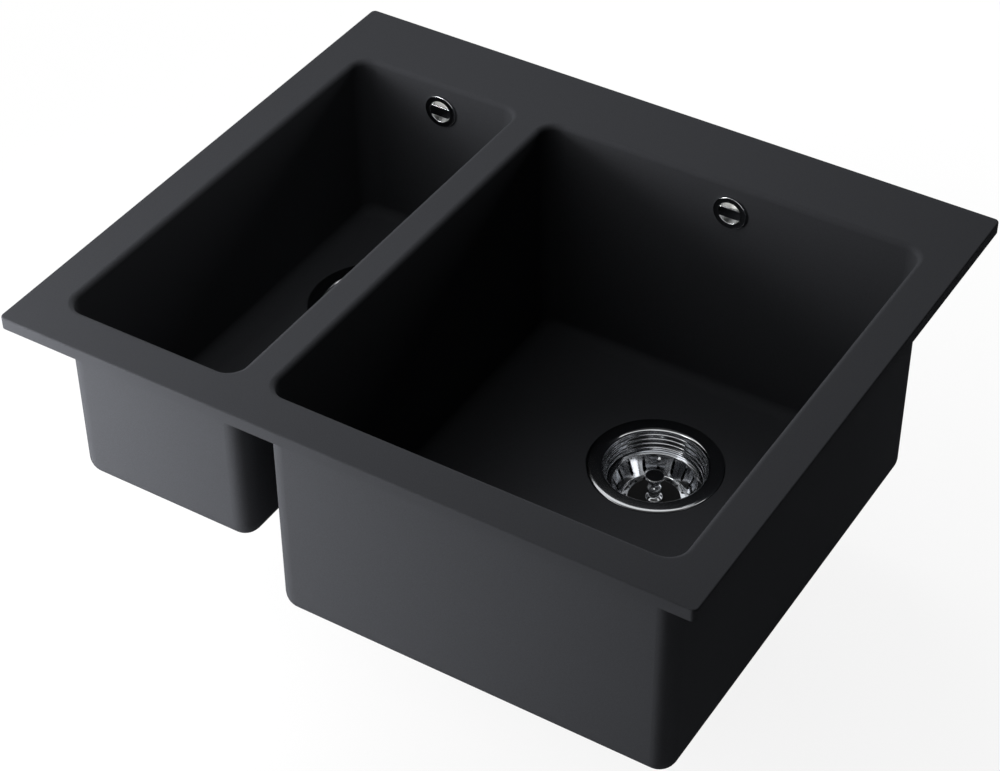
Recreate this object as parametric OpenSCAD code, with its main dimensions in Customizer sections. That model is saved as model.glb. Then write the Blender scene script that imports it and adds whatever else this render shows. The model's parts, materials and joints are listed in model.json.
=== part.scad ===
// Double bowl kitchen sink for a worktop cut-out, in millimetres.
// The origin is the centre of the rim's outline, on the worktop.
// +X runs to the right, +Y to the back and +Z up.

/* [Rim] */
// Width of the rim, left to right
rim_w = 590; // [570:1:700]
// Depth of the rim, front to back
rim_d = 500; // [480:1:560]
// Thickness of the rim
rim_t = 10.5; // [8:0.5:14]
// Radius of the rim's corners, seen from above
rim_corner_r = 4.4; // [3:0.1:12]
// Radius along the rim's top edge
rim_edge_r = 1.2; // [0.6:0.1:2.5]
// Width of the rim to the left and right of the bowls
side_rim_w = 29.3; // [24:0.1:40]
// Width of the rim in front of the bowls
front_rim_w = 31.8; // [26:0.1:45]
// Width of the ledge behind the bowls
ledge_w = 63.7; // [60:0.1:90]
// Width of the bar between the two openings
divider_w = 19.9; // [17:0.1:40]
// Thickness of the foam seal under the rim
rim_seal_t = 2; // [1:0.5:4]
// Width of the foam seal
rim_seal_w = 9; // [6:0.5:12]
// Distance from the rim's edge to the foam seal
rim_seal_inset = 3; // [2:0.5:5]

/* [Bowls] */
// Width of the small bowl's opening
small_w = 165.5; // [158:0.1:200]
// Depth of the small bowl, from the rim's top to its floor
small_depth = 161; // [130:1:200]
// Depth of the large bowl, from the rim's top to its floor
large_depth = 215.4; // [180:0.1:240]
// Thickness of the walls
wall_t = 3.5; // [3:0.5:8]
// Thickness of the floors at the drains
floor_t = 7; // [6:0.5:12]
// Radius of the lip where a wall meets the rim's top
lip_r = 4.5; // [3:0.5:8]
// Radius of a bowl's upright corners, inside
bowl_corner_r = 15; // [8:0.5:30]
// Radius between a bowl's floor and walls, inside
bowl_floor_r = 10; // [6:0.5:18]
// Radius of a bowl's upright corners, outside
body_corner_r = 15.5; // [10:0.5:20]
// Radius between a bowl's underside and walls, outside
body_floor_r = 15.5; // [6:0.5:20]
// Drop of the floor from its edge to the drain
floor_fall = 1.5; // [0.5:0.1:3]
// Distance from the opening's back edge to the drain's centre
drain_inset = 115; // [96:0.5:180]
// Distance of the drain and the overflow to the right of the bowl's middle
drain_shift = 1.7; // [-4:0.1:4]

/* [Strainers] */
// Diameter of the strainer's flange
flange_d = 114; // [110:0.5:120]
// Inner diameter of the strainer cup's mouth
mouth_d = 86.4; // [84:0.2:90]
// Thickness of the pressed steel
steel_t = 1.2; // [0.8:0.1:1.5]
// Height of the flange above the floor
flange_proud = 0.8; // [0.2:0.1:1]
// Width of the slope round the flange's edge
flange_slope_w = 3.5; // [2:0.5:6]
// Radius of the cup's mouth
mouth_edge_r = 3.4; // [1.5:0.1:3.6]
// Rings pressed in the cup's wall
ring_count = 4; // [2:1:5]
// Height of each ring
ring_drop = 4; // [3:0.1:5]
// Step inward at each ring
ring_in = 0.9; // [0.5:0.1:1.1]
// Inner radius of the well below the basket's seat
well_r = 37; // [35:0.1:38]
// Depth of the well below the basket's seat
well_h = 24; // [22:0.5:32]
// Outlet holes in the well's floor
well_hole_count = 6; // [4:1:7]
// Diameter of an outlet hole
well_hole_d = 8; // [6:0.1:9]
// Thickness of the rubber seal under the flange
cup_seal_t = 1; // [0.5:0.1:2]
// Thickness of the rubber seal under the floor
floor_seal_t = 2; // [1:0.5:4]

/* [Baskets] */
// Thickness of the basket
basket_t = 1; // [0.8:0.1:1.2]
// Radius of the basket's flat base
basket_base_r = 27.5; // [26.5:0.1:29]
// Depth of the basket, from its rim to its base
basket_h = 17.5; // [13:0.1:18]
// Slots in the basket's wall
slot_count = 16; // [12:1:24]
// Width of a slot
slot_w = 2.8; // [1.5:0.1:3]
// Diameter of a hole in the basket's base
base_hole_d = 2.6; // [2:0.1:3]
// Diameter of the knob's top
knob_d = 16; // [12:0.5:20]
// Height of the knob
knob_h = 25; // [16:0.5:34]
// Radius of the rubber seal under the basket
stopper_r = 21.5; // [20.5:0.1:22]
// Thickness of the stopper's disc
stopper_t = 3; // [2:0.1:3.5]

/* [Overflows] */
// Depth of an overflow's centre below the rim's top
overflow_drop = 26.6; // [25.6:0.1:40]
// Diameter of the overflow cover
cover_d = 29.4; // [28.8:0.1:29.6]
// Diameter of the opening in the overflow cover
cover_opening_d = 19.8; // [19:0.1:20]
// Height of the bar across the overflow cover
cover_bar_h = 9.3; // [5:0.1:9.6]
// Thickness of the overflow cover
cover_t = 2.2; // [1.6:0.1:4]
// Outer diameter of the overflow pipe
pipe_d = 20; // [18:0.1:20.4]
// Wall of the overflow pipe
pipe_wall_t = 1.6; // [1.2:0.1:2]
// Distance from the back wall to the pipe's centre
pipe_standoff = 15; // [14.5:0.1:20]
// Radius of the overflow pipe's elbow, at its centre line
bend_r = 20; // [16:0.5:26]

/* [Wastes] */
// Outer diameter of the waste outlet, over its thread
outlet_d = 47.8; // [40:0.1:50]
// Length of the waste outlet
outlet_h = 22; // [16:0.5:40]
// Wall of the moulded waste body
moulding_t = 3; // [2.5:0.1:4]
// Diameter of the clamp screw
screw_d = 5.8; // [5:0.1:6]

/* [Tap ledge] */
// Diameter of the tap hole knock-outs under the ledge
knockout_d = 35; // [28:0.5:38]
// Depth of the knock-outs
knockout_h = 5; // [2:0.5:6]
// Distance from the second knock-out to the large bowl's centre line
knockout_offset = 75; // [60:1:110]

/* [Hidden] */
$fn = 72;

SMALL = 0;
LARGE = 1;

// Extra length of a cutting solid past the face that it cuts
over = 1;
// Gap round a piece that drops into its hole
fit_gap = 0.3;
// Gap between the strainer cup and the hole in the floor
hole_gap = 0.6;
// Gap between the flange and the side of its recess
recess_gap = 0.75;
// Gap between the basket and what it rests on
seat_gap = 0.3;

// Rim and bowls
rim_top = rim_seal_t + rim_t;
opening_l = rim_d - front_rim_w - ledge_w;
large_w = rim_w - 2 * side_rim_w - divider_w - small_w;
opening_w = [small_w, large_w];
bowl_x = [side_rim_w + small_w / 2 - rim_w / 2, rim_w / 2 - side_rim_w - large_w / 2];
bowl_y = front_rim_w + opening_l / 2 - rim_d / 2;
floor_z = [rim_top - small_depth, rim_top - large_depth];
inner_w = [for (w = opening_w) w - 2 * lip_r];
inner_l = opening_l - 2 * lip_r;
inner_floor_r = min(bowl_floor_r, bowl_corner_r);
outer_floor_r = min(body_floor_r, body_corner_r);
inner_back_y = bowl_y + inner_l / 2;
outer_back_y = inner_back_y + wall_t;
drain_x = [for (x = bowl_x) x + drain_shift];
drain_y = bowl_y + opening_l / 2 - drain_inset;

// Strainer cup, measured from the floor's level at the drain
flange_r = flange_d / 2;
flange_top = flange_proud;
flange_under = flange_top - steel_t;
flange_edge_r = 0.5;
flange_bend_r = 8;
flange_fall_share = 0.7;
flange_fall = flange_fall_share * cup_seal_t;
ring_edge_r = 0.7;
ring_wave_r = 2;
ring_wave_share = 0.2;
ring_wave_h = ring_wave_share * ring_drop;
well_edge_r = 3;
mouth_r = mouth_d / 2;
neck_r = mouth_r + steel_t;
floor_hole_r = neck_r + hole_gap;
recess_r = flange_r + recess_gap;
recess_z = flange_under - cup_seal_t;
seat_r = mouth_r - ring_count * ring_in;
seat_z = -(ring_count + 1) * ring_drop;
well_z = seat_z - well_h;
cup_under = well_z - steel_t;
screw_r = screw_d / 2;
screw_hole_r = screw_r + fit_gap;
well_hole_ring_r = 11.6;
seal_inset = 2;

// Basket
basket_rim_r = seat_r - 2 * fit_gap;
basket_top = seat_z + seat_gap + basket_t;
basket_wall_r = well_r - 2 * fit_gap - basket_t;
basket_base_z = basket_top - basket_h;
basket_under = basket_base_z - basket_t;
slot_inset = 1.4;
base_hole_ring_r = (basket_base_r + stopper_r) / 2;
base_hole_count = slot_count;
shank_r = 2.5;
stopper_skirt_w = 4;
stopper_foot = well_z + seat_gap;
// Knob's outline, as shares of its radius and of its height
knob_shares = [
    [0.9, 0], [0.9, 0.06], [0.52, 0.12], [0.48, 0.22], [0.78, 0.33], [0.8, 0.42],
    [0.76, 0.52], [0.46, 0.62], [0.44, 0.72], [0.98, 0.88], [1, 0.92], [1, 0.97], [0.94, 1]
];

// Screw and its nut
screw_head_r = 5;
screw_head_h = 2.6;
screw_slot_w = 1.2;
screw_slot_h = 1.1;
screw_l = 16;
insert_r = 5;
insert_h = 12;
pillar_wall_t = 3;

// Waste body
body_top = -floor_t - floor_seal_t;
body_flange_r = 54;
body_flange_t = 3;
tub_gap = 1;
tub_r = floor_hole_r + tub_gap;
sump_h = 8;
tub_z = cup_under - sump_h;
pillar_z = cup_under - screw_l - over;
rib_top = cup_under - sump_h / 2;
outlet_r = outlet_d / 2;
outlet_bore_r = outlet_r - moulding_t - over;
outlet_z = tub_z - moulding_t - outlet_h;

// Overflow pipe and elbow
pipe_r = pipe_d / 2;
pipe_bore_r = pipe_r - pipe_wall_t;
pipe_fit_gap = 0.1;
socket_bore_r = pipe_r + pipe_fit_gap;
socket_wall_t = 2.2;
socket_r = socket_bore_r + socket_wall_t;
socket_h = 18;
inlet_drop = 17;
inlet_z = body_top - body_flange_t - inlet_drop;
inlet_r = 13;
inlet_l = 20;
inlet_y = tub_r + moulding_t + inlet_l;
leg_insert = 16;
pipe_y = outer_back_y + pipe_standoff;
bend_z = inlet_z + bend_r;
bell_rise = 6;
bell_z = bend_z + bell_rise;
washer_t = 2.5;
nut_wall_t = 2.6;
nut_end_t = 3;
nut_h = 17;
nut_rib_count = 12;
nut_rib_w = 2.4;
nut_rib_h = 1.2;

// Overflow cover and housing, measured from the back wall's inner face
overflow_z = rim_top - overflow_drop;
cover_r = cover_d / 2;
cover_edge_r = 1.2;
cover_opening_r = cover_opening_d / 2;
cover_bar_t = 1.6;
skirt_t = 0.8;
skirt_l = 5;
neck_bore_r = cover_opening_r + skirt_t + pipe_fit_gap;
neck_wall_t = 1.2;
housing_neck_r = neck_bore_r + neck_wall_t;
wall_hole_r = housing_neck_r + fit_gap;
housing_flange_r = 15;
housing_flange_t = 2;
overflow_seal_t = 1.5;
housing_r = 13.4;
housing_l = pipe_standoff + pipe_r + moulding_t;
housing_socket_z = -housing_r - over;

// Tap ledge
ledge_y = rim_d / 2 - ledge_w / 2;
divider_x = side_rim_w + small_w + divider_w / 2 - rim_w / 2;
knockout_x = [divider_x, bowl_x[LARGE] + knockout_offset];

// Unit vector along v
function unit(v) = v / norm(v);

// Arc that rounds corner b of the path a, b, c to the radius r, or the most that fits
function corner_arc(a, b, c, r, steps = 4) =
    let (
        to_a = unit(a - b),
        to_c = unit(c - b),
        half = acos(to_a * to_c) / 2,
        reach = min(r / tan(half), norm(a - b) / 2, norm(c - b) / 2),
        arc_r = reach * tan(half),
        centre = b + unit(to_a + to_c) * arc_r / sin(half),
        from_a = unit(b + to_a * reach - centre),
        from_c = unit(b + to_c * reach - centre)
    )
    [for (i = [0:steps]) centre + arc_r * unit(from_a * (steps - i) + from_c * i)];

// Closed outline through [x, y, radius] corners, with each corner rounded
function rounded(corners) =
    let (count = len(corners), flat = [for (p = corners) [p.x, p.y]])
    [for (i = [0:count - 1])
        each corners[i].z == 0
            ? [flat[i]]
            : corner_arc(flat[(i + count - 1) % count], flat[i], flat[(i + 1) % count], corners[i].z)];

// Outline of a pressed sheet whose upper face runs through the corners, outside to inside
function sheet_outline(corners, t) =
    let (last = len(corners) - 1)
    rounded(concat(corners, [for (i = [last:-1:0])
        [corners[i].x + (i == 0 || i == last ? 0 : t), corners[i].y - t,
            corners[i].z > 2 * t ? corners[i].z - t : corners[i].z]]));

// Rectangle with round corners, centred
module round_rect(w, l, r) {
    square([w - 2 * r, l], center = true);
    square([w, l - 2 * r], center = true);
    for (x = [-1, 1], y = [-1, 1])
        translate([x * (w / 2 - r), y * (l / 2 - r)]) circle(r);
}

// Sweeps a profile round a rectangle with round corners; its x runs outward from the outline
module around(w, l, r) {
    for (side = [0:3]) {
        run = (side % 2 == 0 ? w : l) - 2 * r;
        reach = (side % 2 == 0 ? l : w) / 2;
        rotate([0, 0, 90 * side]) {
            translate([-run / 2, -reach, 0])
                rotate([90, 0, 90]) linear_extrude(run) mirror([1, 0]) children();
            translate([run / 2, r - reach, 0])
                rotate([0, 0, -90]) rotate_extrude(angle = 90) translate([r, 0]) children();
        }
    }
}

// What a rounded edge cuts off: a square less its circle, towards +x and +y
module edge_waste(r) {
    difference() {
        translate([-r, -r]) square(r + over);
        translate([-r, -r]) circle(r);
    }
}

// Flat ring between two radii, standing on z
module ring(outer, inner, h, z = 0) {
    translate([0, 0, z]) difference() {
        cylinder(h = h, r = outer);
        translate([0, 0, -over]) cylinder(h = h + 2 * over, r = inner);
    }
}

// Puts its children at a bowl's drain, or at a bowl's overflow with z along +Y
module at_drain(bowl) translate([drain_x[bowl], drain_y, floor_z[bowl]]) children();
module at_overflow(bowl) translate([drain_x[bowl], inner_back_y, overflow_z]) rotate([-90, 0, 0]) children();

// Outside of one bowl, up into the rim
module bowl_body(bowl) {
    w = inner_w[bowl] + 2 * wall_t;
    l = inner_l + 2 * wall_t;
    bottom = floor_z[bowl] - floor_t;
    translate([bowl_x[bowl], bowl_y, bottom]) difference() {
        linear_extrude(rim_top - rim_t / 2 - bottom) round_rect(w, l, body_corner_r);
        around(w, l, body_corner_r) mirror([0, 1]) edge_waste(outer_floor_r);
    }
}

// Floor that falls to a flat square round the drain, cut as two crossing troughs
module floor_pit(bowl) {
    foot_left = drain_shift + inner_w[bowl] / 2 - inner_floor_r;
    foot_right = foot_left - 2 * drain_shift;
    foot_back = inner_back_y - inner_floor_r - drain_y;
    foot_front = foot_back - inner_l + 2 * inner_floor_r;
    top = floor_fall + inner_floor_r / 2;
    intersection() {
        translate([0, drain_inset - opening_l / 2, 0]) rotate([90, 0, 0])
            linear_extrude(inner_l, center = true) polygon([
                [-foot_left, floor_fall], [-recess_r, 0], [recess_r, 0], [foot_right, floor_fall],
                [foot_right, top], [-foot_left, top]]);
        translate([-drain_shift, 0, 0]) rotate([90, 0, 90])
            linear_extrude(inner_w[bowl], center = true) polygon([
                [foot_front, floor_fall], [-recess_r, 0], [recess_r, 0], [foot_back, floor_fall],
                [foot_back, top], [foot_front, top]]);
    }
}

// Inside of one bowl, with its lip, floor, drain recess and drain hole
module bowl_cavity(bowl) {
    w = inner_w[bowl];
    edge_z = floor_z[bowl] + floor_fall;
    translate([bowl_x[bowl], bowl_y, 0]) {
        difference() {
            translate([0, 0, edge_z])
                linear_extrude(rim_top + over - edge_z) round_rect(w, inner_l, bowl_corner_r);
            translate([0, 0, edge_z])
                around(w, inner_l, bowl_corner_r) mirror([0, 1]) edge_waste(inner_floor_r);
        }
        translate([0, 0, rim_top])
            around(w, inner_l, bowl_corner_r) mirror([1, 0]) edge_waste(lip_r);
    }
    at_drain(bowl) {
        floor_pit(bowl);
        translate([0, 0, recess_z]) cylinder(h = over - recess_z, r = recess_r);
        translate([0, 0, -floor_t - over]) cylinder(h = floor_t + 2 * over, r = floor_hole_r);
    }
    at_overflow(bowl) translate([0, 0, -over]) cylinder(h = wall_t + 2 * over, r = wall_hole_r);
}

module sink_shell() {
    color([0.17, 0.17, 0.18]) difference() {
        union() {
            translate([0, 0, rim_seal_t]) difference() {
                linear_extrude(rim_t) round_rect(rim_w, rim_d, rim_corner_r);
                translate([0, 0, rim_t]) around(rim_w, rim_d, rim_corner_r) edge_waste(rim_edge_r);
            }
            bowl_body(SMALL);
            bowl_body(LARGE);
        }
        bowl_cavity(SMALL);
        bowl_cavity(LARGE);
        for (x = knockout_x)
            translate([x, ledge_y, rim_seal_t - over]) cylinder(h = knockout_h + over, d = knockout_d);
    }
}

module rim_seal() {
    w = rim_w - 2 * rim_seal_inset;
    l = rim_d - 2 * rim_seal_inset;
    color([0.3, 0.3, 0.32]) linear_extrude(rim_seal_t) difference() {
        round_rect(w, l, rim_corner_r);
        square([w - 2 * rim_seal_w, l - 2 * rim_seal_w], center = true);
    }
}

// Pressed cup with its flange, rings, basket seat and outlet holes
module strainer_cup() {
    corners = concat(
        [[flange_r, flange_top - flange_fall, flange_edge_r],
            [flange_r - flange_slope_w, flange_top, flange_bend_r], [mouth_r, flange_top, mouth_edge_r]],
        [for (i = [1:ring_count])
            each [[mouth_r - (i - 1) * ring_in, ring_wave_h - i * ring_drop, ring_wave_r],
                [mouth_r - i * ring_in, -ring_wave_h - i * ring_drop, ring_wave_r]]],
        [[seat_r, seat_z, ring_edge_r], [well_r, seat_z, ring_edge_r],
            [well_r, well_z, well_edge_r], [screw_hole_r, well_z, 0]]);
    color([0.8, 0.81, 0.83]) difference() {
        rotate_extrude() polygon(sheet_outline(corners, steel_t));
        for (i = [1:well_hole_count])
            rotate([0, 0, 360 * i / well_hole_count])
                translate([well_hole_ring_r, 0, cup_under - over])
                    cylinder(h = steel_t + 2 * over, d = well_hole_d);
    }
}

module cup_seal()
    color([0.08, 0.08, 0.08])
        ring(flange_r - flange_slope_w, neck_r + mouth_edge_r - steel_t + fit_gap, cup_seal_t, recess_z);

module floor_seal()
    color([0.08, 0.08, 0.08])
        ring(body_flange_r - seal_inset, tub_r, floor_seal_t, -floor_t - floor_seal_t);

// Moulded body that hangs from the clamp screw under the floor
module waste_body() {
    tub_outer_r = tub_r + moulding_t;
    rib_h = rib_top - pillar_z;
    color([0.85, 0.85, 0.85]) difference() {
        union() {
            ring(body_flange_r, tub_r, body_flange_t, body_top - body_flange_t);
            ring(tub_outer_r, tub_r, body_top - tub_z + moulding_t, tub_z - moulding_t);
            ring(tub_outer_r, outlet_bore_r, moulding_t, tub_z - moulding_t);
            ring(outlet_r, outlet_bore_r, outlet_h + moulding_t, outlet_z);
            translate([0, 0, pillar_z])
                cylinder(h = cup_under - pillar_z, r = insert_r + pillar_wall_t);
            for (turn = [0, 90]) rotate([0, 0, turn]) {
                translate([-outlet_bore_r - over, -moulding_t / 2, pillar_z])
                    cube([2 * outlet_bore_r + 2 * over, moulding_t, rib_h]);
                translate([-tub_r - over, -moulding_t / 2, tub_z - over])
                    cube([2 * tub_r + 2 * over, moulding_t, rib_top - tub_z + over]);
            }
            translate([0, tub_r + moulding_t / 2, inlet_z])
                rotate([-90, 0, 0]) cylinder(h = inlet_y - tub_r - moulding_t / 2, r = inlet_r);
        }
        translate([0, tub_r - moulding_t, inlet_z])
            rotate([-90, 0, 0]) cylinder(h = inlet_y - tub_r + moulding_t + over, r = socket_bore_r);
        translate([0, 0, cup_under - insert_h]) cylinder(h = insert_h + over, r = insert_r);
        translate([0, 0, cup_under - screw_l]) cylinder(h = screw_l, r = screw_hole_r);
    }
}

module insert_nut()
    color([0.75, 0.6, 0.3])
        ring(insert_r, screw_r + pipe_fit_gap, insert_h, cup_under - insert_h);

module clamp_screw() {
    color([0.7, 0.71, 0.73]) difference() {
        union() {
            translate([0, 0, well_z]) cylinder(h = screw_head_h, r = screw_head_r);
            translate([0, 0, well_z - screw_l]) cylinder(h = screw_l, r = screw_r);
        }
        translate([-screw_head_r - over, -screw_slot_w / 2, well_z + screw_head_h - screw_slot_h])
            cube([2 * screw_head_r + 2 * over, screw_slot_w, screw_slot_h + over]);
    }
}

// Basket with a slotted sloping wall, a flat base and a ring of small holes
module basket() {
    corners = [
        [basket_rim_r, basket_top, 0], [basket_wall_r, basket_top, ring_edge_r],
        [basket_base_r, basket_base_z, well_edge_r / 2], [shank_r + pipe_fit_gap, basket_base_z, 0]];
    slot_start = basket_base_r + slot_inset + slot_w / 2;
    slot_end = basket_wall_r - slot_w / 2;
    color([0.8, 0.81, 0.83]) difference() {
        rotate_extrude() polygon(sheet_outline(corners, basket_t));
        for (i = [1:slot_count]) rotate([0, 0, 360 * i / slot_count])
            translate([0, 0, basket_under - over]) linear_extrude(basket_h + basket_t + 2 * over) {
                translate([slot_start, -slot_w / 2]) square([slot_end - slot_start, slot_w]);
                translate([slot_start, 0]) circle(d = slot_w);
                translate([slot_end, 0]) circle(d = slot_w);
            }
        for (i = [1:base_hole_count]) rotate([0, 0, 360 * i / base_hole_count])
            translate([base_hole_ring_r, 0, basket_under - over])
                cylinder(h = basket_t + 2 * over, d = base_hole_d);
    }
}

// Turned knob whose shank goes down through the basket and the stopper
module basket_knob() {
    outline = [for (p = knob_shares) [p.x * knob_d / 2, basket_base_z + p.y * knob_h]];
    shank_z = basket_under - stopper_t;
    color([0.8, 0.81, 0.83]) rotate_extrude() polygon(concat(
        [[0, shank_z], [shank_r, shank_z], [shank_r, basket_base_z]],
        outline, [[0, basket_base_z + knob_h]]));
}

// Rubber bell under the basket that closes the well round the outlet holes
module basket_stopper() {
    color([0.08, 0.08, 0.08]) {
        ring(stopper_r, shank_r + pipe_fit_gap, stopper_t, basket_under - stopper_t);
        ring(stopper_r, stopper_r - stopper_skirt_w, basket_under - stopper_foot, stopper_foot);
    }
}

// Round cover with a bar across it and a skirt that plugs in the housing
module overflow_cover() {
    color([0.8, 0.81, 0.83]) {
        rotate_extrude() polygon(rounded([
            [cover_opening_r, skirt_l, 0], [cover_opening_r, -cover_t, cover_edge_r / 2],
            [cover_r, -cover_t, cover_edge_r], [cover_r, 0, 0],
            [cover_opening_r + skirt_t, 0, 0], [cover_opening_r + skirt_t, skirt_l, 0]]));
        translate([0, 0, -cover_t]) linear_extrude(cover_bar_t) intersection() {
            circle(cover_opening_r + skirt_t / 2);
            square([cover_d, cover_bar_h], center = true);
        }
    }
}

module overflow_seal()
    color([0.08, 0.08, 0.08])
        ring(housing_flange_r, wall_hole_r, overflow_seal_t, wall_t);

// Elbow-shaped housing behind the wall, with a socket for the pipe below
module overflow_housing() {
    neck_z = skirt_l - over;
    flange_z = wall_t + overflow_seal_t;
    back_z = wall_t + housing_l;
    color([0.94, 0.94, 0.93]) difference() {
        union() {
            translate([0, 0, neck_z]) cylinder(h = flange_z + over - neck_z, r = housing_neck_r);
            translate([0, 0, flange_z]) cylinder(h = housing_flange_t, r = housing_flange_r);
            translate([0, 0, flange_z]) cylinder(h = back_z - flange_z, r = housing_r);
            translate([0, 0, wall_t + pipe_standoff]) rotate([-90, 0, 0])
                cylinder(h = socket_h - housing_socket_z, r = socket_r);
        }
        translate([0, 0, -over]) cylinder(h = back_z - moulding_t + over, r = neck_bore_r);
        translate([0, 0, wall_t + pipe_standoff]) rotate([-90, 0, 0])
            cylinder(h = socket_h - housing_socket_z + over, r = pipe_bore_r);
        translate([0, -housing_socket_z, wall_t + pipe_standoff]) rotate([-90, 0, 0])
            cylinder(h = socket_h + over, r = socket_bore_r);
    }
}

// Straight pipe from the housing's socket down to the elbow
module overflow_pipe(bowl) {
    top = overflow_z + housing_socket_z;
    bottom = floor_z[bowl] + bell_z;
    color([0.9, 0.9, 0.89]) translate([drain_x[bowl], pipe_y, bottom])
        ring(pipe_r, pipe_bore_r, top - bottom);
}

// Elbow from the pipe to the waste body's inlet, with a bell round the pipe
module overflow_elbow() {
    pipe_dy = pipe_y - drain_y;
    leg_y = inlet_y - leg_insert;
    color([0.9, 0.9, 0.89]) {
        translate([0, leg_y, inlet_z]) rotate([-90, 0, 0])
            ring(pipe_r, pipe_bore_r, pipe_dy - bend_r - leg_y);
        translate([0, pipe_dy - bend_r, bend_z]) rotate([0, 90, 0]) rotate_extrude(angle = 90)
            translate([bend_r, 0]) difference() {
                circle(pipe_r);
                circle(pipe_bore_r);
            }
        translate([0, pipe_dy, bend_z]) ring(socket_r, pipe_bore_r, bell_z - bend_z);
        translate([0, pipe_dy, bell_z]) ring(socket_r, socket_bore_r, socket_h);
    }
}

module elbow_washer()
    color([0.08, 0.08, 0.08]) translate([0, inlet_y, inlet_z]) rotate([-90, 0, 0])
        ring(inlet_r, pipe_r + pipe_fit_gap, washer_t);

// Ribbed nut that squeezes the washer on the inlet's mouth
module elbow_nut() {
    nut_r = inlet_r + fit_gap + nut_wall_t;
    end_z = inlet_y + washer_t;
    color([0.85, 0.85, 0.85]) translate([0, end_z - nut_h + nut_end_t, inlet_z]) rotate([-90, 0, 0])
        difference() {
            union() {
                cylinder(h = nut_h, r = nut_r);
                for (i = [1:nut_rib_count]) rotate([0, 0, 360 * i / nut_rib_count])
                    translate([nut_r - nut_wall_t / 2, -nut_rib_w / 2, 0])
                        cube([nut_wall_t / 2 + nut_rib_h, nut_rib_w, nut_h]);
            }
            translate([0, 0, -over]) cylinder(h = nut_h - nut_end_t + over, r = inlet_r + fit_gap);
            cylinder(h = nut_h + over, r = pipe_r + fit_gap);
        }
}

module small_strainer_cup() at_drain(SMALL) strainer_cup();
module small_cup_seal() at_drain(SMALL) cup_seal();
module small_floor_seal() at_drain(SMALL) floor_seal();
module small_waste_body() at_drain(SMALL) waste_body();
module small_insert_nut() at_drain(SMALL) insert_nut();
module small_clamp_screw() at_drain(SMALL) clamp_screw();
module small_basket() at_drain(SMALL) basket();
module small_basket_knob() at_drain(SMALL) basket_knob();
module small_basket_stopper() at_drain(SMALL) basket_stopper();
module small_overflow_cover() at_overflow(SMALL) overflow_cover();
module small_overflow_seal() at_overflow(SMALL) overflow_seal();
module small_overflow_housing() at_overflow(SMALL) overflow_housing();
module small_overflow_pipe() overflow_pipe(SMALL);
module small_overflow_elbow() at_drain(SMALL) overflow_elbow();
module small_elbow_washer() at_drain(SMALL) elbow_washer();
module small_elbow_nut() at_drain(SMALL) elbow_nut();
module large_strainer_cup() at_drain(LARGE) strainer_cup();
module large_cup_seal() at_drain(LARGE) cup_seal();
module large_floor_seal() at_drain(LARGE) floor_seal();
module large_waste_body() at_drain(LARGE) waste_body();
module large_insert_nut() at_drain(LARGE) insert_nut();
module large_clamp_screw() at_drain(LARGE) clamp_screw();
module large_basket() at_drain(LARGE) basket();
module large_basket_knob() at_drain(LARGE) basket_knob();
module large_basket_stopper() at_drain(LARGE) basket_stopper();
module large_overflow_cover() at_overflow(LARGE) overflow_cover();
module large_overflow_seal() at_overflow(LARGE) overflow_seal();
module large_overflow_housing() at_overflow(LARGE) overflow_housing();
module large_overflow_pipe() overflow_pipe(LARGE);
module large_overflow_elbow() at_drain(LARGE) overflow_elbow();
module large_elbow_washer() at_drain(LARGE) elbow_washer();
module large_elbow_nut() at_drain(LARGE) elbow_nut();

sink_shell();
rim_seal();
small_strainer_cup();
small_cup_seal();
small_floor_seal();
small_waste_body();
small_insert_nut();
small_clamp_screw();
small_basket();
small_basket_knob();
small_basket_stopper();
small_overflow_cover();
small_overflow_seal();
small_overflow_housing();
small_overflow_pipe();
small_overflow_elbow();
small_elbow_washer();
small_elbow_nut();
large_strainer_cup();
large_cup_seal();
large_floor_seal();
large_waste_body();
large_insert_nut();
large_clamp_screw();
large_basket();
large_basket_knob();
large_basket_stopper();
large_overflow_cover();
large_overflow_seal();
large_overflow_housing();
large_overflow_pipe();
large_overflow_elbow();
large_elbow_washer();
large_elbow_nut();
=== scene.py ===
"""The looks of a double bowl composite sink with its strainers, overflows and wastes.

Lengths named *_mm are millimetres, and mm() turns them to Blender's metres.
"""

import json
import math

import bmesh
import bpy
from mathutils import Matrix, Vector


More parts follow.
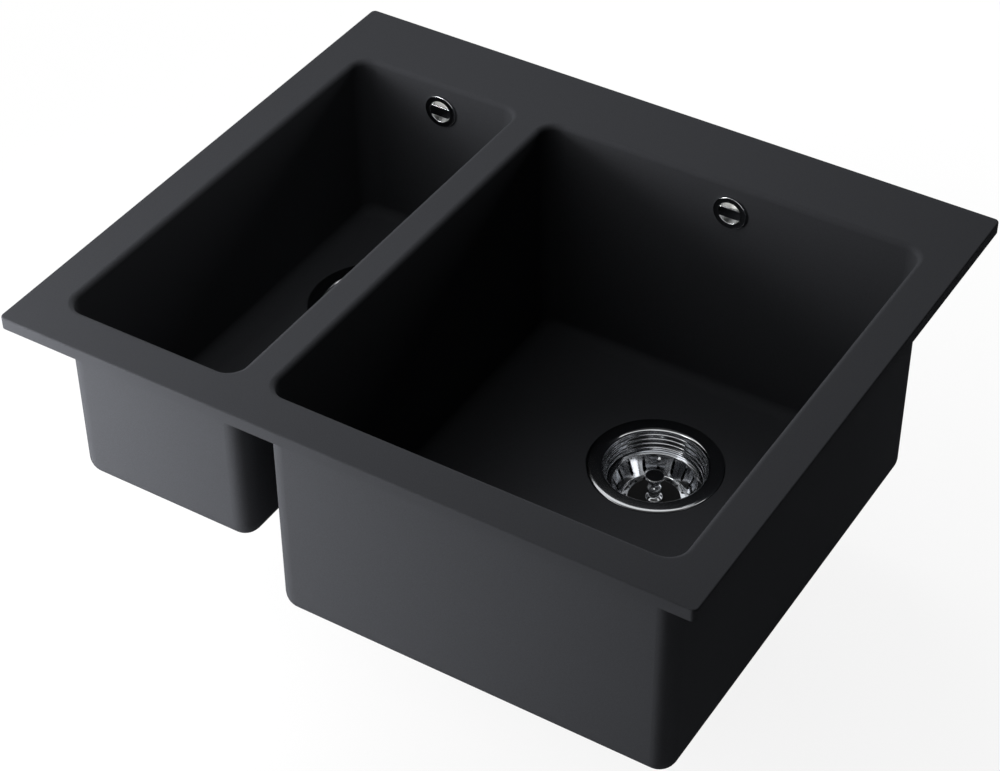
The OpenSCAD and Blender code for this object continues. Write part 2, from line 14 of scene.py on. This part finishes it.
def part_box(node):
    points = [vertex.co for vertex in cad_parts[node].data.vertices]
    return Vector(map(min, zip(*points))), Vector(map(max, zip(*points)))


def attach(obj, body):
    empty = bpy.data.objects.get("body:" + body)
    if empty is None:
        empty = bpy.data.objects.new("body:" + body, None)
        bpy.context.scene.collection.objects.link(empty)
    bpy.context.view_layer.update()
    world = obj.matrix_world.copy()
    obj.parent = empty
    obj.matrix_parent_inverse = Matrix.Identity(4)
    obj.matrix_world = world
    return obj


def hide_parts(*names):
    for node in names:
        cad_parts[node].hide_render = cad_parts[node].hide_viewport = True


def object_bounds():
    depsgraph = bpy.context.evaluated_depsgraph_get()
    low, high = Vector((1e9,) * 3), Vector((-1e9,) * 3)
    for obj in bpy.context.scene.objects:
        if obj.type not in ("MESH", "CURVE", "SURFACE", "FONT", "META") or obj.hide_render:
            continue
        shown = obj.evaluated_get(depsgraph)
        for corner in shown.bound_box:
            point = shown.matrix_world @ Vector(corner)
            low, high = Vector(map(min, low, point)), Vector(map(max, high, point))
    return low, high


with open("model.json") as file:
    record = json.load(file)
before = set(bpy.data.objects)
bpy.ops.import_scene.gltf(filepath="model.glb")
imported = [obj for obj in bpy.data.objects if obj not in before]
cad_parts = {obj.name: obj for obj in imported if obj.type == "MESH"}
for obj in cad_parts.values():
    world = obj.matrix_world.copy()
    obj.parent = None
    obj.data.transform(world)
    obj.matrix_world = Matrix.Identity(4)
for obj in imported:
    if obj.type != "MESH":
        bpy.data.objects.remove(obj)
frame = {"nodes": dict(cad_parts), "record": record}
cad_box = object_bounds()
scene = bpy.context.scene
BOWLS = ("small", "large")


def mm(length):
    """A length in millimetres, as metres."""
    return length / 1000


WELD = mm(0.001)
SINK_MIDDLE = (0, 0, mm(-50))


def linear(hex_colour):
    """A #rrggbb sRGB colour as the linear RGBA that shaders take."""
    shares = [int(hex_colour[i:i + 2], 16) / 255 for i in (1, 3, 5)]
    return tuple(s / 12.92 if s <= 0.04045 else ((s + 0.055) / 1.055) ** 2.4 for s in shares) + (1.0,)


def link(owner, output, node, socket):
    """Joins an output to a node's input, in the node tree of a material or world."""
    owner.node_tree.links.new(output, node.inputs[socket])


def add_node(owner, kind, links=(), **settings):
    """Adds a node, sets its inputs (in_ and their name) and attributes, and links outputs to its inputs."""
    node = owner.node_tree.nodes.new(kind)
    for name, value in settings.items():
        if name.startswith("in_"):
            node.inputs[name.removeprefix("in_").replace("_", " ")].default_value = value
        else:
            setattr(node, name, value)
    for output, socket in links:
        link(owner, output, node, socket)
    return node


def new_finish(name, **inputs):
    """A material with a Principled shader, returned with that shader."""
    material = bpy.data.materials.new(name)
    material.use_nodes = True
    shader = material.node_tree.nodes["Principled BSDF"]
    for socket, value in inputs.items():
        shader.inputs[socket.replace("_", " ")].default_value = value
    return material, shader


def object_noise(material, size_mm, detail, **settings):
    """Noise in the piece's own space, with grains of about a size."""
    place = add_node(material, "ShaderNodeTexCoord")
    noise = add_node(material, "ShaderNodeTexNoise", [(place.outputs["Object"], "Vector")],
                     in_Scale=1 / mm(size_mm), in_Detail=detail, **settings)
    return noise.outputs["Fac"]


def vary_roughness(material, shader, noise, low, high):
    """Lets the roughness follow a noise between two values."""
    varied = add_node(material, "ShaderNodeMapRange", [(noise, "Value")], in_To_Min=low, in_To_Max=high)
    link(material, varied.outputs["Result"], shader, "Roughness")


def raise_bumps(material, shader, noise, strength, height_mm):
    """Lets a noise stand up as bumps."""
    bump = add_node(material, "ShaderNodeBump", [(noise, "Height")],
                    in_Strength=strength, in_Distance=mm(height_mm))
    link(material, bump.outputs["Normal"], shader, "Normal")


def quartz_composite():
    """Quartz sand in acrylic resin, cast in a matt mould: a dry black face with a fine grit in it."""
    material, shader = new_finish("cast quartz composite", IOR=1.5, Specular_IOR_Level=0.0)
    grit = object_noise(material, size_mm=0.7, detail=3.0, in_Roughness=0.6)
    mottle = object_noise(material, size_mm=60, detail=2.0)
    colour = add_node(material, "ShaderNodeValToRGB", [(grit, "Fac")])
    resin, sand = colour.color_ramp.elements
    resin.position, resin.color = 0.3, linear("#363739")
    sand.position, sand.color = 0.75, linear("#3f4044")
    link(material, colour.outputs["Color"], shader, "Base Color")
    vary_roughness(material, shader, mottle, 0.55, 0.61)
    raise_bumps(material, shader, grit, strength=0.12, height_mm=0.05)
    return material


def polished_chrome():
    """Chrome plate on pressed steel: a dark mirror with very faint waves from the polishing wheel."""
    material, shader = new_finish("polished chrome plate", Metallic=1.0, Base_Color=linear("#d0d2d5"))
    waves = object_noise(material, size_mm=9, detail=2.0)
    vary_roughness(material, shader, waves, 0.08, 0.13)
    return material


def stainless_screw():
    """Turned stainless steel: pale, with a fine grain from the lathe that blurs its mirror."""
    material, shader = new_finish("turned stainless steel", Metallic=1.0, Base_Color=linear("#bfc1c3"))
    lathe_marks = object_noise(material, size_mm=0.3, detail=1.0)
    vary_roughness(material, shader, lathe_marks, 0.22, 0.36)
    return material


def brass_insert():
    """Turned brass: yellow metal, a little dulled by handling."""
    first_colour, second_colour, mixed_colour = 6, 7, 2
    material, shader = new_finish("turned brass", Metallic=1.0, Roughness=0.3)
    tarnish = object_noise(material, size_mm=3, detail=3.0)
    mix = add_node(material, "ShaderNodeMix", [(tarnish, "Factor")], data_type="RGBA")
    mix.inputs[first_colour].default_value = linear("#c9a24f")
    mix.inputs[second_colour].default_value = linear("#a98338")
    link(material, mix.outputs[mixed_colour], shader, "Base Color")
    return material


def moulded_rubber(name, hex_colour, grain_mm, roughness):
    """EPDM rubber or foam: black, dead matt, with a soft grain from the mould or its cells."""
    material, shader = new_finish(name, Roughness=roughness, IOR=1.5, Base_Color=linear(hex_colour))
    grain = object_noise(material, grain_mm, detail=4.0)
    raise_bumps(material, shader, grain, strength=0.4, height_mm=0.1)
    return material


def moulded_polypropylene(name, hex_colour, passing_share=0.0):
    """Injection-moulded polypropylene: milky and satin, and where it isn't dyed, light passes through it."""
    scatter_mm = 2
    material, shader = new_finish(name, IOR=1.49, Base_Color=linear(hex_colour), Subsurface_Weight=0.2,
                                  Subsurface_Radius=(mm(scatter_mm),) * 3, Subsurface_Scale=1.0)
    flow = object_noise(material, size_mm=25, detail=3.0)
    vary_roughness(material, shader, flow, 0.34, 0.46)
    if passing_share:
        passed = add_node(material, "ShaderNodeBsdfTranslucent", in_Color=linear(hex_colour))
        mix = add_node(material, "ShaderNodeMixShader", [(shader.outputs[0], 1), (passed.outputs[0], 2)],
                       in_Fac=passing_share)
        link(material, mix.outputs[0], material.node_tree.nodes["Material Output"], "Surface")
    return material


FINISHES = {
    "composite": quartz_composite(),
    "foam_seal": moulded_rubber("closed-cell foam tape", "#3a3b3e", grain_mm=0.8, roughness=0.85),
    "chromed_steel": polished_chrome(),
    "stainless_steel": stainless_screw(),
    "brass": brass_insert(),
    "rubber": moulded_rubber("moulded rubber", "#161617", grain_mm=0.5, roughness=0.7),
    "grey_plastic": moulded_polypropylene("moulded grey polypropylene", "#b9bbbd"),
    "white_plastic": moulded_polypropylene("moulded white polypropylene", "#e6e7e5"),
}
NATURAL_PLASTIC = moulded_polypropylene("moulded natural polypropylene", "#fdfdfb", passing_share=0.97)


def dress(piece, material):
    """Gives a piece one material in all its slots."""
    piece.data.materials.clear()
    piece.data.materials.append(material)


SLOT_OF = {part["node"]: part["material_slot"] for part in frame["record"]["subparts"]}
for node_name, cad_node in frame["nodes"].items():
    undyed = node_name.endswith("overflow_housing")
    dress(cad_node, NATURAL_PLASTIC if undyed else FINISHES[SLOT_OF[node_name]])


def turned_sheet(corners, steps):
    """Spins a path of (radius, height, rounding) corners in millimetres round the vertical.

    A rounding is how far from its corner the bend begins, along both sides.
    """
    rounding_segments = 6
    bm = bmesh.new()
    path = [bm.verts.new((mm(radius), 0, mm(height))) for radius, height, _ in corners]
    for start, end in zip(path, path[1:]):
        bm.edges.new((start, end))
    for corner, (_, _, rounding) in zip(path, corners):
        if rounding:
            bmesh.ops.bevel(bm, geom=[corner], offset=mm(rounding), offset_type="OFFSET",
                            segments=rounding_segments, profile=0.5, affect="VERTICES",
                            clamp_overlap=True, material=-1)
    bmesh.ops.spin(bm, geom=bm.verts[:] + bm.edges[:], cent=(0, 0, 0), axis=(0, 0, 1),
                   angle=math.tau, steps=steps, use_merge=True)
    bmesh.ops.remove_doubles(bm, verts=bm.verts, dist=WELD)
    bmesh.ops.recalc_face_normals(bm, faces=bm.faces)
    return bm


def box_in(bm, size, centre):
    """Adds a box to a bmesh and returns its vertices."""
    verts = bmesh.ops.create_cube(bm, size=1)["verts"]
    bmesh.ops.scale(bm, verts=verts, vec=size)
    bmesh.ops.translate(bm, verts=verts, vec=centre)
    return verts


def soften(bm, edges, rounding):
    """Rounds edges over."""
    bmesh.ops.bevel(bm, geom=edges, offset=rounding, segments=3, profile=0.5, affect="EDGES", material=-1)


def mesh_from(bm, name):
    """Turns a bmesh into a mesh, and frees it."""
    mesh = bpy.data.meshes.new(name)
    bm.to_mesh(mesh)
    bm.free()
    return mesh


def put_in_scene(name, data):
    """An object in the scene for a mesh, camera or lamp."""
    thing = bpy.data.objects.new(name, data)
    scene.collection.objects.link(thing)
    return thing


def add_piece(bm, name, node_name, finish, smooth_below_deg=40):
    """Makes a piece in a finish, on the body of a CAD node."""
    mesh = mesh_from(bm, name)
    mesh.shade_smooth()
    mesh.set_sharp_from_angle(angle=math.radians(smooth_below_deg))
    piece = put_in_scene(name, mesh)
    dress(piece, FINISHES[finish])
    bodies = frame["record"]["behaviour"]["bodies"]
    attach(piece, next(body for body, nodes in bodies.items() if node_name in nodes))
    return piece


def replace_node(bm, name, node_name, smooth_below_deg=40):
    """Makes the piece that stands for a CAD node, on that node's body and in its finish."""
    piece = add_piece(bm, name, node_name, SLOT_OF[node_name], smooth_below_deg)
    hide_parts(node_name)


def centre_of(node_name):
    """The middle of a node's box."""
    low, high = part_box(node_name)
    return [(a + b) / 2 for a, b in zip(low, high)]


def basket_knob(bowl):
    """The knob: a flat round top on a waisted stem with a bulge half way up, a foot and a shank."""
    node_name = bowl + "_basket_knob"
    x, y, _ = centre_of(node_name)
    bottom_z, top_z = (corner[2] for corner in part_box(node_name))
    radius_mm = 8
    shank_radius_mm = 2.5
    shank_length_mm = 4
    height_mm = (top_z - bottom_z) / mm(1) - shank_length_mm
    foot = [(0.92, -1, 0.3), (0.92, -0.93, 0.5)]
    lower_waist = [(0.5, -0.86, 1.3), (0.5, -0.74, 1.1)]
    bulge = [(0.8, -0.66, 1.4), (0.8, -0.5, 1.8)]
    upper_waist = [(0.44, -0.38, 1.2), (0.44, -0.26, 1.3)]
    top = [(0.99, -0.1, 0.5), (1, -0.02, 0.3), (0.94, 0, 0.3), (0, 0, 0)]
    corners = [(0, -height_mm - shank_length_mm, 0), (shank_radius_mm, -height_mm - shank_length_mm, 0.4),
               (shank_radius_mm, -height_mm, 0)]
    corners += [(radius_share * radius_mm, height_share * height_mm, rounding)
                for radius_share, height_share, rounding in foot + lower_waist + bulge + upper_waist + top]
    bm = turned_sheet(corners, steps=64)
    bmesh.ops.translate(bm, verts=bm.verts, vec=(x, y, top_z))
    replace_node(bm, node_name + "_turned", node_name, smooth_below_deg=55)


def cup_profile(joint_depth_mm):
    """The cup's flange and ringed neck in section, with heights from the bowl's floor."""
    steel_mm = 1.2
    flange_mm, flange_top_mm = 57, 0.8
    mouth_mm, mouth_slope_mm, mouth_rounding_mm = 43.2, 3.6, 3.4
    rings, ring_in_mm, ring_drop_mm, ring_rounding_mm = 4, 0.9, 4, 0.58
    wave_mm = 0.1 * ring_drop_mm
    seat_mm, well_mm, seat_rounding_mm = 39.6, 37, 0.7
    seat_z_mm = -(rings + 1) * ring_drop_mm
    flange = [(flange_mm, 0.1, 0.2), (56.5, 0.42, 0.35), (54.7, 0.73, 1.2), (51, flange_top_mm, 0.8),
              (mouth_mm + mouth_slope_mm, flange_top_mm, 0), (mouth_mm, flange_top_mm, mouth_rounding_mm)]
    neck = []
    for ring in range(rings):
        middle_z_mm = -(ring + 1) * ring_drop_mm
        neck += [(mouth_mm - ring * ring_in_mm, wave_mm + middle_z_mm, ring_rounding_mm),
                 (mouth_mm - (ring + 1) * ring_in_mm, -wave_mm + middle_z_mm, ring_rounding_mm)]
    neck += [(seat_mm, seat_z_mm, seat_rounding_mm), (well_mm, seat_z_mm, seat_rounding_mm)]
    back = [(flange_mm, -1.1, 0.4), (55.4, -0.4, 2.8), (mouth_mm + steel_mm, -0.4, 2.2)]
    back += [(radius + steel_mm, height - steel_mm, rounding) for radius, height, rounding in neck]
    back += [(well_mm + steel_mm, -joint_depth_mm, 0)]
    return flange + neck + [(well_mm, -joint_depth_mm, 0)] + back[::-1] + flange[:1]


def cad_well(node_name, top_z):
    """A mesh of the CAD cup below a height, closed at the cut."""
    well = bmesh.new()
    well.from_mesh(frame["nodes"][node_name].data)
    bmesh.ops.remove_doubles(well, verts=well.verts, dist=WELD)
    cut = bmesh.ops.bisect_plane(well, geom=well.verts[:] + well.edges[:] + well.faces[:], dist=WELD,
                                 plane_co=(0, 0, top_z), plane_no=(0, 0, 1), clear_outer=True)
    rim_edges = [part for part in cut["geom_cut"] if isinstance(part, bmesh.types.BMEdge)]
    bmesh.ops.bridge_loops(well, edges=rim_edges)
    return mesh_from(well, node_name + "_well")


def strainer_cup(bowl):
    """The pressed cup: the CAD cup's well, and on it the flange and ringed neck turned without facets."""
    node_name = bowl + "_strainer_cup"
    x, y, _ = centre_of(node_name)
    flange_above_floor_mm = 0.8
    joint_depth_mm = 24
    floor_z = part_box(node_name)[1][2] - mm(flange_above_floor_mm)
    bm = turned_sheet(cup_profile(joint_depth_mm), steps=160)
    bmesh.ops.translate(bm, verts=bm.verts, vec=(x, y, floor_z))
    well = cad_well(node_name, floor_z - mm(joint_depth_mm))
    bm.from_mesh(well)
    bpy.data.meshes.remove(well)
    replace_node(bm, node_name + "_pressed", node_name, smooth_below_deg=50)


def basket_painted_dark_disc(bowl):
    """A dark disc of thin rubber that lies on the basket's base, inside its ring of holes: a painted dark
    reflection laid over the chrome base.
    """
    basket_name = bowl + "_basket"
    knob_height_mm = 25
    base_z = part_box(bowl + "_basket_knob")[1][2] - mm(knob_height_mm)
    x, y, _ = centre_of(basket_name)
    outer_mm, inner_mm, thickness_mm, edge_mm = 22.4, 6.9, 0.5, 0.25
    corners = [(outer_mm, 0, 0), (outer_mm, thickness_mm, edge_mm), (inner_mm, thickness_mm, 0),
               (inner_mm, 0, 0), (outer_mm, 0, 0)]
    bm = turned_sheet(corners, steps=96)
    bmesh.ops.translate(bm, verts=bm.verts, vec=(x, y, base_z))
    # Painted reflection: the dark disc stands in for the dark mirror image of the chrome base.
    add_piece(bm, basket_name + "_painted_dark_disc", basket_name, "rubber")


def overflow_cover(bowl):
    """The cover: a flat ring with a crisp edge and a skirt into the wall, and a bar across its opening."""
    node_name = bowl + "_overflow_cover"
    x, _, z = centre_of(node_name)
    opening_mm, outer_mm, skirt_mm, skirt_depth_mm = 9.9, 14.7, 0.8, 5
    proud_mm, inner_edge_mm, outer_edge_mm = 2.2, 0.4, 0.35
    bar_height_mm, bar_back_mm, bar_sunk_mm, bar_edge_mm = 9.3, 0.6, 0.08, 0.2
    wall_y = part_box(node_name)[0][1] + mm(proud_mm)
    corners = [(opening_mm, -skirt_depth_mm, 0), (opening_mm, proud_mm, inner_edge_mm),
               (outer_mm, proud_mm, outer_edge_mm), (outer_mm, 0, 0), (opening_mm + skirt_mm, 0, 0),
               (opening_mm + skirt_mm, -skirt_depth_mm, 0), (opening_mm, -skirt_depth_mm, 0)]
    bm = turned_sheet(corners, steps=96)
    bar_thickness_mm = proud_mm - bar_sunk_mm - bar_back_mm
    bar = box_in(bm, size=(mm(2 * opening_mm + skirt_mm), mm(bar_height_mm), mm(bar_thickness_mm)),
                 centre=(0, 0, mm(bar_back_mm + bar_thickness_mm / 2)))
    soften(bm, list({edge for vert in bar for edge in vert.link_edges}), mm(bar_edge_mm))
    to_face_forward = Matrix.Rotation(math.radians(90), 3, "X")
    bmesh.ops.rotate(bm, verts=bm.verts, cent=(0, 0, 0), matrix=to_face_forward)
    bmesh.ops.translate(bm, verts=bm.verts, vec=(x, wall_y, z))
    replace_node(bm, node_name + "_pressed", node_name)


def foam_tape():
    """The foam tape stuck under the rim: four lengths butted at the corners, with soft edges."""
    low, high = (Vector(corner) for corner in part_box("rim_seal"))
    width, joint, soft_edge = mm(9), mm(0.2), mm(0.5)
    middle = (low + high) / 2
    length_x, length_y, height = high - low
    along_x = (length_x, width, height)
    along_y = (width, length_y - 2 * (width + joint), height)
    bm = bmesh.new()
    for side in (-1, 1):
        box_in(bm, along_x, middle + Vector((0, side * (length_y - width) / 2, 0)))
        box_in(bm, along_y, middle + Vector((side * (length_x - width) / 2, 0, 0)))
    soften(bm, bm.edges[:], soft_edge)
    replace_node(bm, "foam_tape", "rim_seal")


foam_tape()
for bowl in BOWLS:
    strainer_cup(bowl)
    # The basket's dark disc is a painted reflection on its chrome base.
    basket_painted_dark_disc(bowl)
    basket_knob(bowl)
    overflow_cover(bowl)


def place_camera():
    """The photograph's view, fitted to the rim's edges and the strainer's ellipses."""
    photo_width_px, photo_height_px = 1000, 771
    focal_px = 2516.9
    optic_axis_px = (523.0, 389.2)
    sensor_mm = 36
    low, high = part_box("sink_shell")
    rim_front_left = Vector((low[0], low[1], high[2]))
    from_rim_corner = Vector((mm(1093.1), mm(-1042.6), mm(1179.7)))
    tilt_down_deg = 40.61
    turn_left_deg = 31.36
    data = bpy.data.cameras.new("photo view")
    data.sensor_width = sensor_mm
    data.lens = focal_px / photo_width_px * sensor_mm
    data.shift_x = (photo_width_px / 2 - optic_axis_px[0]) / photo_width_px
    data.shift_y = (optic_axis_px[1] - photo_height_px / 2) / photo_width_px
    camera = put_in_scene("photo view", data)
    camera.location = rim_front_left + from_rim_corner
    camera.rotation_euler = (math.radians(90 - tilt_down_deg), 0, math.radians(turn_left_deg))
    scene.camera = camera


def area_lamp(name, place, size, watts, in_chrome=True):
    """A square soft box that lights the sink and doesn't show in the picture; some show in the chrome."""
    data = bpy.data.lights.new(name, "AREA")
    data.shape = "SQUARE"
    data.size = size
    data.energy = watts
    lamp = put_in_scene(name, data)
    lamp.location = place
    lamp.rotation_euler = (Vector(SINK_MIDDLE) - lamp.location).to_track_quat("-Z", "Y").to_euler()
    lamp.visible_camera = False
    lamp.visible_glossy = in_chrome


def seen_share(owner):
    """1 for the rays by which the camera, metal and glass see their surroundings, else 0."""
    path = add_node(owner, "ShaderNodeLightPath")
    total = path.outputs["Is Camera Ray"]
    for name in ("Is Glossy Ray", "Is Transmission Ray"):
        either = add_node(owner, "ShaderNodeMath", [(total, 0), (path.outputs[name], 1)],
                          operation="ADD", use_clamp=True)
        total = either.outputs[0]
    return total


def white_studio():
    """White all round with a dark ceiling in the chrome, and no light on the sink of its own.

    The two limits are how steeply upwards a ray goes, from 0 at the horizon to 1 straight up.
    """
    white_below, dark_above = 0.82, 0.92
    ceiling_share = 0.05
    world = bpy.data.worlds.new("studio")
    scene.world = world
    world.use_nodes = True
    background = world.node_tree.nodes["Background"]
    background.inputs["Color"].default_value = linear("#ffffff")
    direction = add_node(world, "ShaderNodeTexCoord")
    split = add_node(world, "ShaderNodeSeparateXYZ", [(direction.outputs["Generated"], 0)])
    brightness = add_node(world, "ShaderNodeMapRange", [(split.outputs["Z"], "Value")],
                          interpolation_type="SMOOTHSTEP", in_From_Min=white_below,
                          in_From_Max=dark_above, in_To_Min=1.0, in_To_Max=ceiling_share)
    strength = add_node(world, "ShaderNodeMath", [(brightness.outputs["Result"], 0), (seen_share(world), 1)],
                        operation="MULTIPLY")
    link(world, strength.outputs[0], background, "Strength")


def white_floor():
    """A white floor under the wastes that looks white too, but for the sink's soft shadow."""
    gap_mm = 2
    half_m = 6
    shadow_share = 0.14
    shadow_start_m, shadow_end_m = 0.35, 1.1
    bm = bmesh.new()
    bmesh.ops.create_grid(bm, x_segments=1, y_segments=1, size=half_m)
    bmesh.ops.translate(bm, verts=bm.verts, vec=(0, 0, cad_box[0][2] - mm(gap_mm)))
    floor = put_in_scene("floor", mesh_from(bm, "floor"))
    paper, shader = new_finish("matt white paper", Roughness=0.9, Base_Color=linear("#f2f2f2"))
    place = add_node(paper, "ShaderNodeTexCoord")
    distance = add_node(paper, "ShaderNodeVectorMath", [(place.outputs["Object"], "Vector")],
                        operation="LENGTH")
    white = add_node(paper, "ShaderNodeMapRange", [(distance.outputs["Value"], "Value")],
                     in_From_Min=shadow_start_m, in_From_Max=shadow_end_m,
                     in_To_Min=1 - shadow_share, in_To_Max=1.0)
    share = add_node(paper, "ShaderNodeMath", [(seen_share(paper), 0), (white.outputs["Result"], 1)],
                     operation="MULTIPLY")
    glow = add_node(paper, "ShaderNodeEmission")
    mix = add_node(paper, "ShaderNodeMixShader",
                   [(share.outputs[0], 0), (shader.outputs[0], 1), (glow.outputs[0], 2)])
    link(paper, mix.outputs[0], paper.node_tree.nodes["Material Output"], "Surface")
    dress(floor, paper)


place_camera()
white_studio()
white_floor()
area_lamp("front left, level with the rim", (-0.6, -0.6, 0.024), 0.45, 13)
area_lamp("left, just above the rim", (-0.55, -0.35, 0.25), 0.45, 0.73)
area_lamp("front left, high", (-0.492, -0.492, 0.438), 0.45, 1.13)
area_lamp("over the divider", (-0.15, -0.1, 0.6), 0.45, 1.2, in_chrome=False)
area_lamp("back left, high", (-0.9, 0.9, 1.22), 1.0, 18, in_chrome=False)
area_lamp("back, low", (0.0, 1.78, 0.2), 1.0, 28, in_chrome=False)

scene.view_settings.view_transform = "Standard"
